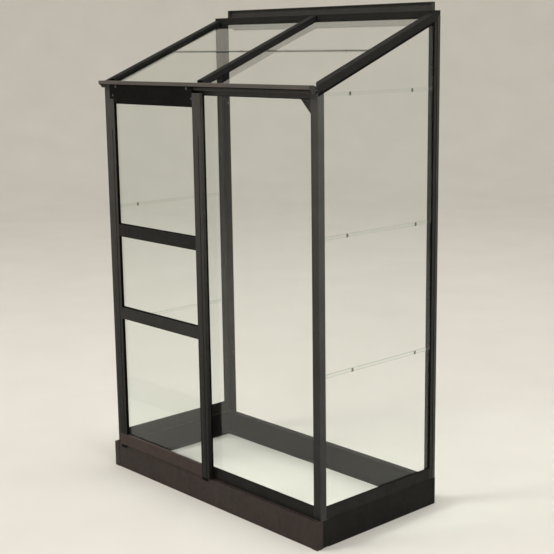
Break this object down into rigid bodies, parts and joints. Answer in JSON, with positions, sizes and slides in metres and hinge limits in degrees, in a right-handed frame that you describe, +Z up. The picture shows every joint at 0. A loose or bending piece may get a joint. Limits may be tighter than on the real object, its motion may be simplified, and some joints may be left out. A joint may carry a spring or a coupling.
{
  "type": "lean-to wall greenhouse",
  "caption": "Glass lean-to greenhouse for a house wall: dark aluminium frame on a folded plinth, lapped glass sides and roof, and a door that slides across the front.",
  "frame": {"origin": "on the ground under the middle of the whole outline", "axes": "X runs along the house wall, -Y is the glazed front with the door, +Y is the wall side, +Z is up"},
  "size_m": [1.321, 0.6956, 2.0321],
  "materials": {
    "frame_paint": "satin powder coat, dark grey-brown",
    "plinth_paint": "satin powder coat, dark grey-brown",
    "clear_glass": "clear horticultural glass",
    "black_nylon": "moulded nylon",
    "glazing_rubber": "black glazing strip",
    "fixing_steel": "stainless clips and bolts"
  },
  "bodies": {
    "frame": {"corner_post_left": "frame_paint", "corner_post_right": "frame_paint", "eaves_bar": "frame_paint", "eaves_gussets": "frame_paint", "front_pane": "clear_glass", "front_sill": "frame_paint", "gable_bar_left": "frame_paint", "gable_bar_right": "frame_paint", "gutter": "frame_paint", "left_gable_pane": "clear_glass", "left_pane_1": "clear_glass", "left_pane_2": "clear_glass", "left_pane_3": "clear_glass", "left_sill": "frame_paint", "middle_post": "frame_paint", "plinth_corner_plates": "plinth_paint", "plinth_front": "plinth_paint", "plinth_left": "plinth_paint", "plinth_rear": "plinth_paint", "plinth_right": "plinth_paint", "ridge_bar": "frame_paint", "right_gable_pane": "clear_glass", "right_pane_1": "clear_glass", "right_pane_2": "clear_glass", "right_pane_3": "clear_glass", "right_sill": "frame_paint", "roof_bar_middle": "frame_paint", "roof_pane_left_lower": "clear_glass", "roof_pane_left_upper": "clear_glass", "roof_pane_right_lower": "clear_glass", "roof_pane_right_upper": "clear_glass", "wall_flashing": "frame_paint", "wall_post_left": "frame_paint", "wall_post_right": "frame_paint"},
    "door": {"door_guides": "black_nylon", "door_header": "frame_paint", "door_pane_bottom": "clear_glass", "door_pane_middle": "clear_glass", "door_pane_top": "clear_glass", "door_rail_bottom": "frame_paint", "door_rail_lower": "frame_paint", "door_rail_upper": "frame_paint", "door_rollers": "black_nylon", "door_stile_left": "frame_paint", "door_stile_right": "frame_paint"}
  },
  "joints": [
    {"name": "door_slide", "type": "slide", "parent": "frame", "child": "door", "axis": [1, 0, 0], "range_m": [0, 0.6]}
  ]
}
